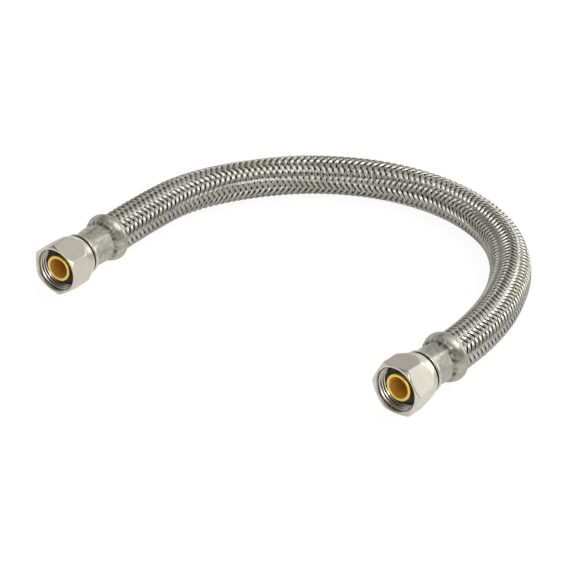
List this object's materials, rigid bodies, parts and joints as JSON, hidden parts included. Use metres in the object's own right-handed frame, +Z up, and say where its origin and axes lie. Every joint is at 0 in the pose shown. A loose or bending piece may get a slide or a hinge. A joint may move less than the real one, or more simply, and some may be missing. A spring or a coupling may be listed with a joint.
{
  "type": "braided supply line",
  "caption": "Flexible water supply hose with a woven stainless braid, crimped metal ferrules and a threaded swivel hex nut over a brass nose at each end.",
  "frame": {"origin": "centre of the inlet nut's mouth", "axes": "+Y along the inlet fitting's axis, from the mouth into the hose; +Z up, square to the surface the hose lies on; +X towards the outlet"},
  "size_m": [0.1473, 0.1261, 0.0183],
  "materials": {
    "nickel_plate": "satin nickel plate over brass",
    "stainless": "brushed stainless steel sheet, crimped",
    "braid_wire": "bright drawn stainless wire, woven",
    "brass": "machined, bright",
    "rubber": "matte black",
    "pvc": "smooth dark flexible plastic",
    "yarn": "white polyester yarn"
  },
  "bodies": {
    "hose": {"inner_tube": "pvc", "yarn_layer": "yarn", "outer_tube": "pvc", "steel_braid": "braid_wire", "inlet_stem": "brass", "inlet_washer": "rubber", "inlet_ferrule": "stainless", "outlet_stem": "brass", "outlet_washer": "rubber", "outlet_ferrule": "stainless"},
    "inlet_slip_ring": {"inlet_slip_ring": "nickel_plate"},
    "inlet_nut": {"inlet_nut": "nickel_plate"},
    "outlet_slip_ring": {"outlet_slip_ring": "nickel_plate"},
    "outlet_nut": {"outlet_nut": "nickel_plate"}
  },
  "joints": [
    {"name": "inlet_nut_slide", "type": "slide", "parent": "hose", "child": "inlet_slip_ring", "axis": [0, 1, 0], "range_m": [-0.0004, 0.0042]},
    {"name": "inlet_nut_swivel", "type": "hinge", "parent": "inlet_slip_ring", "child": "inlet_nut", "pos_m": [0, 0, 0], "axis": [0, 1, 0], "continuous": true},
    {"name": "outlet_nut_slide", "type": "slide", "parent": "hose", "child": "outlet_slip_ring", "axis": [0.1132, 0.9936, 0], "range_m": [-0.0004, 0.0017]},
    {"name": "outlet_nut_swivel", "type": "hinge", "parent": "outlet_slip_ring", "child": "outlet_nut", "pos_m": [0.128, 0, 0], "axis": [0.1132, 0.9936, 0], "continuous": true}
  ]
}
